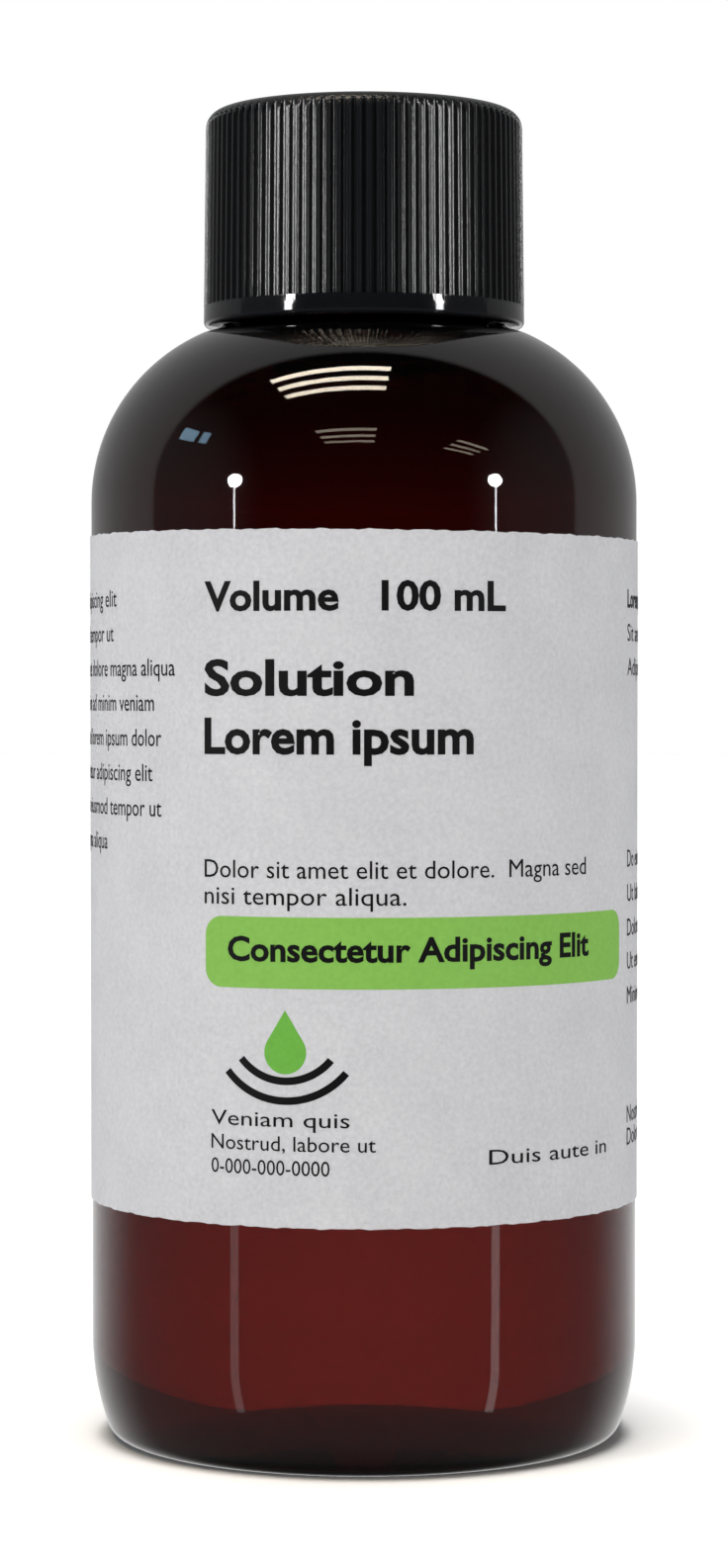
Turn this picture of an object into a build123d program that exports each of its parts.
"""Round amber solution bottle with a ribbed screw cap.

A blow-moulded PET bottle with a 24 mm screw finish, its moulded polypropylene cap, the foamed
liner that seals it, a wrap-round paper label and the solution inside. The origin is the centre
of the standing ring, +Z is up and the middle of the label faces -Y. Millimetres throughout.
"""
from build123d import *
from math import asin, atan2, cos, degrees, pi, radians, sin, tan
import os

# ---- bottle body ----
body_diameter = 46.6
body_wall = 0.70
wall_top = 79.7              # where the straight side ends and the shoulder begins
shoulder_sweep_angle = 67.5  # degrees that the shoulder turns before it levels off
heel_sweep_radius = 21.4     # the long, easy curve that starts the heel
heel_sweep_angle = 19.9      # degrees that the long curve turns
heel_edge_radius = 1.8       # the tight curve that ends it at the standing ring
foot_flat_width = 1.2        # the level strip of the standing ring
foot_inner_radius = 1.2      # rolls from the standing ring up into the push-up
push_up_height = 2.8
gate_diameter = 3.2          # the moulding stub under the middle of the base
gate_height = 0.5

# ---- screw finish ----
neck_diameter = 21.5         # outside the neck's wall, between the threads
neck_wall = 1.65
finish_height = 16.6         # landing to sealing lip
landing_inset = 0.1          # the shoulder levels off this far inside the cap's rim
landing_blend = 3.0          # rounds the shoulder into the level landing
neck_root_fillet = 0.4
neck_inner_fillet = 1.5      # rounds the inside of the shoulder into the bore
lip_round = 0.4
thread_pitch = 3.175         # eight turns to the inch
thread_turns = 1.5
thread_height = 1.1
thread_base_width = 1.9
thread_crest_width = 1.0
thread_top_margin = 1.2      # lip to the highest edge of the thread
thread_root_bite = 0.35      # how deep each thread is rooted in its wall
neck_bead_height = 0.85      # the low collar under the thread stands out this far
neck_bead_width = 1.6
neck_bead_rise = 1.6         # landing to the collar's lower edge
neck_bead_round = 0.35

# ---- cap ----
skirt_wall = 1.55            # at the open end, over the rib crests
cap_top_wall = 1.3
cap_draft = 0.6              # degrees that the skirt narrows towards its top
cap_corner_radius = 1.5
cap_lift_off = 0.5           # air between the skirt's rim and the landing
cap_edge_radius = 0.45
cap_inner_chamfer = 0.4
skirt_band_height = 1.7      # the smooth band under the ribs
rib_count = 96
rib_depth = 0.40
groove_mouth_share = 0.62    # of the rib pitch, at the crests
groove_floor_share = 0.22    # of the rib pitch, at the groove's floor
skirt_clearance = 0.30       # crest of the neck's thread to the skirt's inner wall
crest_clearance = 0.35       # crest of the cap's thread to the neck's wall
cap_thread_base_width = 1.6
cap_thread_crest_width = 0.6

# ---- liner, label and solution ----
liner_thickness = 1.0
liner_side_clearance = 0.5   # rim of the liner to the skirt's inner wall
label_bottom_margin = 12.0   # top of the heel to the label's lower edge
label_top_margin = 2.9       # label's upper edge to the start of the shoulder
label_thickness = 0.11
glue_film = 0.02             # between the label and the bottle
label_back_gap = 4.5         # bare strip between the label's two ends, at the back
fill_drop = 14.9             # start of the shoulder down to the solution's surface
film_clearance = 0.05        # between the solution and the bottle's inner wall

# ---- worked out from the sizes above ----
body_radius = body_diameter / 2
neck_radius = neck_diameter / 2
bore_radius = neck_radius - neck_wall
thread_radius = neck_radius + thread_height
skirt_radius = thread_radius + skirt_clearance
cap_radius = skirt_radius + skirt_wall
cap_thread_height = skirt_radius - crest_clearance - neck_radius
landing_radius = cap_radius - landing_inset
shoulder_radius = (body_radius - landing_radius) / (1 - cos(radians(shoulder_sweep_angle)))
landing_height = wall_top + shoulder_radius * sin(radians(shoulder_sweep_angle))
lip_height = landing_height + finish_height
cap_bottom = landing_height + cap_lift_off
liner_seat = lip_height + liner_thickness
cap_top = liner_seat + cap_top_wall
band_top = cap_bottom + skirt_band_height
thread_end_height = lip_height - thread_top_margin - thread_base_width / 2
thread_start_height = thread_end_height - thread_turns * thread_pitch
fill_level = wall_top - fill_drop

heel_run = heel_sweep_radius - heel_edge_radius
heel_radius = body_radius - heel_sweep_radius + heel_run * cos(radians(heel_sweep_angle))
heel_height = heel_edge_radius + heel_run * sin(radians(heel_sweep_angle))
foot_radius = heel_radius - foot_flat_width
push_up_radius = (foot_radius**2 + push_up_height**2) / (2 * push_up_height) - foot_inner_radius


def draw_base_and_wall(inset, wall_end):
    """Draw from the middle of the base out over the standing ring and up the straight side.

    Every line runs the same distance, inset, inside the bottle's outer skin. The push-up is an
    arc about a centre far below it, tangent to the roll at the standing ring.
    """
    dome_centre = (0, push_up_height - push_up_radius)
    foot_angle = degrees(atan2(foot_inner_radius - dome_centre[1], foot_radius))
    CenterArc(dome_centre, push_up_radius + inset, foot_angle, 90 - foot_angle)
    CenterArc((foot_radius, foot_inner_radius), foot_inner_radius - inset, 180 + foot_angle,
              90 - foot_angle)
    Line((foot_radius, inset), (heel_radius, inset))
    CenterArc((heel_radius, heel_edge_radius), heel_edge_radius - inset, 270, 90 - heel_sweep_angle)
    CenterArc((body_radius - heel_sweep_radius, heel_height), heel_sweep_radius - inset,
              -heel_sweep_angle, heel_sweep_angle)
    Line((body_radius - inset, heel_height), (body_radius - inset, wall_end))


def draw_shoulder(inset):
    """Draw the shoulder's arc up to the landing and return the radius at which it gets there."""
    arc_radius = shoulder_radius - inset
    arc_angle = asin((landing_height - inset - wall_top) / arc_radius)
    arc_centre = (body_radius - shoulder_radius, wall_top)
    CenterArc(arc_centre, arc_radius, 0, degrees(arc_angle))
    return arc_centre[0] + arc_radius * cos(arc_angle)


def nearest_corner(sketch, x, z):
    """Pick the corner of a half section that lies at radius x and height z."""
    return sketch.vertices().sort_by_distance((x, z, 0))[0]


def screw_thread(root_radius, height, base_width, crest_width):
    """Sweep one right-hand thread along its helix.

    height is positive for a thread that stands out from a neck and negative for one that
    stands in from a skirt. The root reaches thread_root_bite into the wall behind it.
    """
    outward = 1 if height > 0 else -1
    with BuildPart() as thread:
        with BuildLine() as path:
            Helix(thread_pitch, thread_turns * thread_pitch, root_radius)
        with BuildSketch(Plane(path.line @ 0, x_dir=(outward, 0, 0), z_dir=path.line % 0)):
            with BuildLine():
                Polyline((-thread_root_bite, -base_width / 2), (0, -base_width / 2),
                         (abs(height), -crest_width / 2), (abs(height), crest_width / 2),
                         (0, base_width / 2), (-thread_root_bite, base_width / 2), close=True)
            make_face()
        sweep(path=path.line, is_frenet=True)
    return thread.part


os.makedirs("parts", exist_ok=True)

# ---- bottle: one blow-moulded shell with its threaded neck ----
neck_thread = screw_thread(neck_radius, thread_height, thread_base_width, thread_crest_width)

with BuildPart() as bottle:
    with BuildSketch(Plane.XZ) as skin:
        with BuildLine():
            draw_base_and_wall(0, wall_top)
            skin_landing = draw_shoulder(0)
            Polyline((skin_landing, landing_height), (neck_radius, landing_height),
                     (neck_radius, lip_height), (0, lip_height), (0, push_up_height))
        make_face()
        fillet(nearest_corner(skin, skin_landing, landing_height), landing_blend)
        fillet(nearest_corner(skin, neck_radius, landing_height), neck_root_fillet)
        fillet(nearest_corner(skin, neck_radius, lip_height), lip_round)
    revolve(axis=Axis.Z)

    with BuildSketch(Plane.XZ) as bead:
        with Locations((bore_radius + neck_wall / 2, landing_height + neck_bead_rise)):
            Rectangle(neck_bead_height + neck_wall / 2, neck_bead_width, align=(Align.MIN, Align.MIN))
        fillet(bead.vertices().sort_by(Axis.X)[2:], neck_bead_round)
    revolve(axis=Axis.Z)

    with BuildSketch(Plane.XY.offset(push_up_height - gate_height)):
        Circle(gate_diameter / 2)
    extrude(amount=gate_height + body_wall / 2)

    with Locations((0, 0, thread_start_height)):
        add(neck_thread)

    with BuildSketch(Plane.XZ) as cavity:
        with BuildLine():
            draw_base_and_wall(body_wall, wall_top)
            cavity_landing = draw_shoulder(body_wall)
            ceiling = landing_height - body_wall
            Polyline((cavity_landing, ceiling), (bore_radius, ceiling), (bore_radius, lip_height),
                     (0, lip_height), (0, push_up_height + body_wall))
        make_face()
        fillet(nearest_corner(cavity, cavity_landing, ceiling), landing_blend - body_wall)
        fillet(nearest_corner(cavity, bore_radius, ceiling), neck_inner_fillet)
    revolve(axis=Axis.Z, mode=Mode.SUBTRACT)
bottle.part.label = "bottle"
export_step(bottle.part, "parts/bottle.step")

# ---- cap: moulded shell with outer ribs and one inner thread ----
cap_thread = screw_thread(skirt_radius, -cap_thread_height, cap_thread_base_width,
                          cap_thread_crest_width)


def crest_radius(height):
    """Radius over the cap's rib crests at a height, drawn in by the draft."""
    return cap_radius - (height - cap_bottom) * tan(radians(cap_draft))


rib_pitch = 2 * pi * crest_radius(band_top) / rib_count
groove_floor = rib_pitch * groove_floor_share / 2
groove_flare = rib_pitch * groove_mouth_share - groove_floor   # half width, one depth outside the crests
skirt_lean = (-sin(radians(cap_draft)), 0, cos(radians(cap_draft)))

with BuildPart() as rib_groove:
    with BuildSketch(Plane((crest_radius(band_top), 0, band_top), x_dir=(0, 1, 0), z_dir=skirt_lean)):
        with BuildLine():
            Polyline((-groove_flare, -rib_depth), (-groove_floor, rib_depth),
                     (groove_floor, rib_depth), (groove_flare, -rib_depth), close=True)
        make_face()
    extrude(amount=cap_top - band_top + cap_corner_radius)

with BuildPart() as cap:
    with BuildSketch(Plane.XZ) as shell:
        with BuildLine():
            Polyline((0, liner_seat), (skirt_radius, liner_seat), (skirt_radius, cap_bottom),
                     (cap_radius, cap_bottom), (crest_radius(cap_top), cap_top), (0, cap_top),
                     close=True)
        make_face()
        fillet(nearest_corner(shell, crest_radius(cap_top), cap_top), cap_corner_radius)
        fillet(nearest_corner(shell, cap_radius, cap_bottom), cap_edge_radius)
        chamfer(nearest_corner(shell, skirt_radius, cap_bottom), cap_inner_chamfer)
    revolve(axis=Axis.Z)
    with PolarLocations(0, rib_count):
        add(rib_groove.part, mode=Mode.SUBTRACT)
    with Locations((0, 0, thread_start_height - thread_pitch / 2)):
        add(cap_thread)
cap.part.label = "cap"
export_step(cap.part, "parts/cap.step")

# ---- liner: foamed disc pressed up inside the cap ----
with BuildPart() as cap_liner:
    with BuildSketch(Plane.XY.offset(lip_height)):
        Circle(skirt_radius - liner_side_clearance)
    extrude(amount=liner_thickness)
cap_liner.part.label = "cap_liner"
export_step(cap_liner.part, "parts/cap_liner.step")

# ---- label: paper wrapped round the straight side, open at the back ----
label_bottom = heel_height + label_bottom_margin
label_inner_radius = body_radius + glue_film

with BuildPart() as label:
    with BuildSketch(Plane.XY.offset(label_bottom)):
        Circle(label_inner_radius + label_thickness)
        Circle(label_inner_radius, mode=Mode.SUBTRACT)
        with Locations((0, body_radius)):
            Rectangle(label_back_gap, body_radius, mode=Mode.SUBTRACT)
    extrude(amount=wall_top - label_top_margin - label_bottom)
label.part.label = "label"
export_step(label.part, "parts/label.step")

# ---- solution: the liquid as it stands in the bottle ----
liquid_inset = body_wall + film_clearance

with BuildPart() as solution:
    with BuildSketch(Plane.XZ):
        with BuildLine():
            draw_base_and_wall(liquid_inset, fill_level)
            Polyline((body_radius - liquid_inset, fill_level), (0, fill_level),
                     (0, push_up_height + liquid_inset))
        make_face()
    revolve(axis=Axis.Z)
solution.part.label = "solution"
export_step(solution.part, "parts/solution.step")
